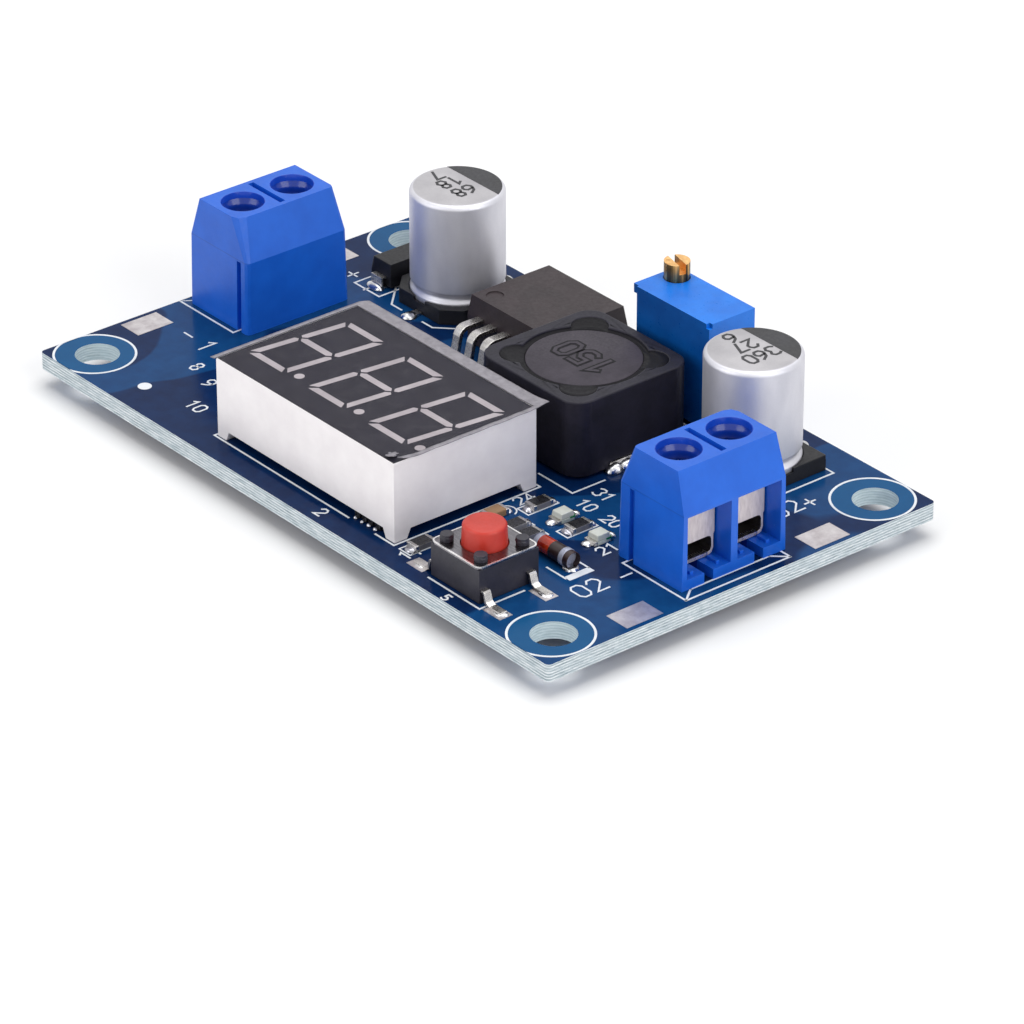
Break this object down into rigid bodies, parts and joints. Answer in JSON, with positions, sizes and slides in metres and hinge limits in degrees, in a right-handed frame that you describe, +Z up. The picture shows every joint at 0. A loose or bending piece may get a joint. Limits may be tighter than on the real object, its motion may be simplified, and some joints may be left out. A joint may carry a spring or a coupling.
{
  "type": "buck converter module",
  "caption": "Step-down converter board with a three-digit display, push button, multi-turn trimmer, shielded inductor, can capacitors and screw terminals at both ends.",
  "frame": {"origin": "centre of the four mounting holes, on the board's underside", "axes": "+X along the long side toward the output terminal, +Y along the short side toward the capacitors, +Z up out of the component side"},
  "size_m": [0.065, 0.0394, 0.0145],
  "materials": {
    "solder_mask": "glossy blue solder mask over glass-fibre laminate",
    "terminal_blue": "semi-gloss blue moulding",
    "nickel_plate": "dull nickel plating",
    "zinc_screw": "bright zinc plating",
    "tinned_copper": "tinned, satin",
    "can_aluminium": "satin, drawn can with a dark half-moon polarity mark",
    "black_moulding": "matt black moulding",
    "ferrite": "dark grey ground ferrite",
    "copper_wire": "enamelled copper wire",
    "adhesive": "dark cured adhesive",
    "trimmer_blue": "semi-gloss blue moulding",
    "potting_resin": "cured resin",
    "screw_brass": "turned brass",
    "display_white": "white moulding",
    "display_grey": "dark grey face paint",
    "segment_grey": "unlit milky segment resin",
    "clear_film": "clear protective film, frosted at its cut edge",
    "pcb_green": "plain laminate",
    "button_red": "semi-gloss red moulding",
    "spring_steel": "bright stamped steel",
    "orange_glass": "orange glass with a dark band",
    "led_resin": "pale translucent resin",
    "chip_black": "black coated ceramic with tinned ends",
    "chip_tan": "tan ceramic with tinned ends"
  },
  "bodies": {
    "board": {"button_base": "black_moulding", "button_cover": "spring_steel", "button_dome": "spring_steel", "button_legs": "tinned_copper", "chip_capacitor": "chip_tan", "chip_resistor_1": "chip_black", "chip_resistor_2": "chip_black", "chip_resistor_3": "chip_black", "chip_resistor_4": "chip_black", "chip_resistor_5": "chip_black", "circuit_board": "solder_mask", "display_back_board": "pcb_green", "display_controller": "black_moulding", "display_face": "display_grey", "display_film": "clear_film", "display_housing": "display_white", "display_pins": "tinned_copper", "display_segments": "segment_grey", "glass_diode_body": "orange_glass", "glass_diode_end_caps": "tinned_copper", "inductor_adhesive": "adhesive", "inductor_drum_core": "ferrite", "inductor_shield": "ferrite", "inductor_terminals": "tinned_copper", "inductor_winding": "copper_wire", "input_capacitor_base": "black_moulding", "input_capacitor_can": "can_aluminium", "input_capacitor_leads": "tinned_copper", "input_diode_body": "black_moulding", "input_diode_leads": "tinned_copper", "input_led": "led_resin", "input_minus_contact": "nickel_plate", "input_plus_contact": "nickel_plate", "input_terminal_housing": "terminal_blue", "logic_regulator": "black_moulding", "output_capacitor_base": "black_moulding", "output_capacitor_can": "can_aluminium", "output_capacitor_leads": "tinned_copper", "output_led": "led_resin", "output_minus_contact": "nickel_plate", "output_plus_contact": "nickel_plate", "output_terminal_housing": "terminal_blue", "regulator_body": "black_moulding", "regulator_leads": "tinned_copper", "regulator_tab": "tinned_copper", "resistor_array": "chip_black", "trimmer_base": "potting_resin", "trimmer_housing": "trimmer_blue", "trimmer_pins": "tinned_copper"},
    "button": {"button_plunger": "button_red"},
    "trimmer_adjuster": {"trimmer_screw": "screw_brass"},
    "output_minus_clamp_screw": {"output_minus_screw": "zinc_screw"},
    "output_minus_clamp_cage": {"output_minus_cage": "nickel_plate"},
    "output_plus_clamp_screw": {"output_plus_screw": "zinc_screw"},
    "output_plus_clamp_cage": {"output_plus_cage": "nickel_plate"},
    "input_minus_clamp_screw": {"input_minus_screw": "zinc_screw"},
    "input_minus_clamp_cage": {"input_minus_cage": "nickel_plate"},
    "input_plus_clamp_screw": {"input_plus_screw": "zinc_screw"},
    "input_plus_clamp_cage": {"input_plus_cage": "nickel_plate"}
  },
  "joints": [
    {"name": "button_press", "type": "slide", "parent": "board", "child": "button", "axis": [0, 0, -1], "range_m": [0, 0.00025], "stiffness_N_per_m": 6000, "deforming": ["button_dome"]},
    {"name": "trimmer_turn", "type": "hinge", "parent": "board", "child": "trimmer_adjuster", "pos_m": [0.00515, 0.01639, 0.0115], "axis": [0, 0, 1], "continuous": true},
    {"name": "output_minus_screw_turn", "type": "hinge", "parent": "board", "child": "output_minus_clamp_screw", "pos_m": [0.0269, -0.00216, 0.009], "axis": [0, 0, -1], "range_deg": [0, 576]},
    {"name": "output_minus_cage_rise", "type": "slide", "parent": "board", "child": "output_minus_clamp_cage", "axis": [0, 0, 1], "range_m": [0, 0.0008]},
    {"name": "output_plus_screw_turn", "type": "hinge", "parent": "board", "child": "output_plus_clamp_screw", "pos_m": [0.0269, 0.00292, 0.009], "axis": [0, 0, -1], "range_deg": [0, 576]},
    {"name": "output_plus_cage_rise", "type": "slide", "parent": "board", "child": "output_plus_clamp_cage", "axis": [0, 0, 1], "range_m": [0, 0.0008]},
    {"name": "input_minus_screw_turn", "type": "hinge", "parent": "board", "child": "input_minus_clamp_screw", "pos_m": [-0.02775, -0.00224, 0.009], "axis": [0, 0, -1], "range_deg": [0, 576]},
    {"name": "input_minus_cage_rise", "type": "slide", "parent": "board", "child": "input_minus_clamp_cage", "axis": [0, 0, 1], "range_m": [0, 0.0008]},
    {"name": "input_plus_screw_turn", "type": "hinge", "parent": "board", "child": "input_plus_clamp_screw", "pos_m": [-0.02775, 0.00284, 0.009], "axis": [0, 0, -1], "range_deg": [0, 576]},
    {"name": "input_plus_cage_rise", "type": "slide", "parent": "board", "child": "input_plus_clamp_cage", "axis": [0, 0, 1], "range_m": [0, 0.0008]}
  ],
  "couplings": [
    {"joint": "output_minus_screw_turn", "follows": "output_minus_cage_rise", "rad_per_m": 12566},
    {"joint": "output_plus_screw_turn", "follows": "output_plus_cage_rise", "rad_per_m": 12566},
    {"joint": "input_minus_screw_turn", "follows": "input_minus_cage_rise", "rad_per_m": 12566},
    {"joint": "input_plus_screw_turn", "follows": "input_plus_cage_rise", "rad_per_m": 12566}
  ]
}
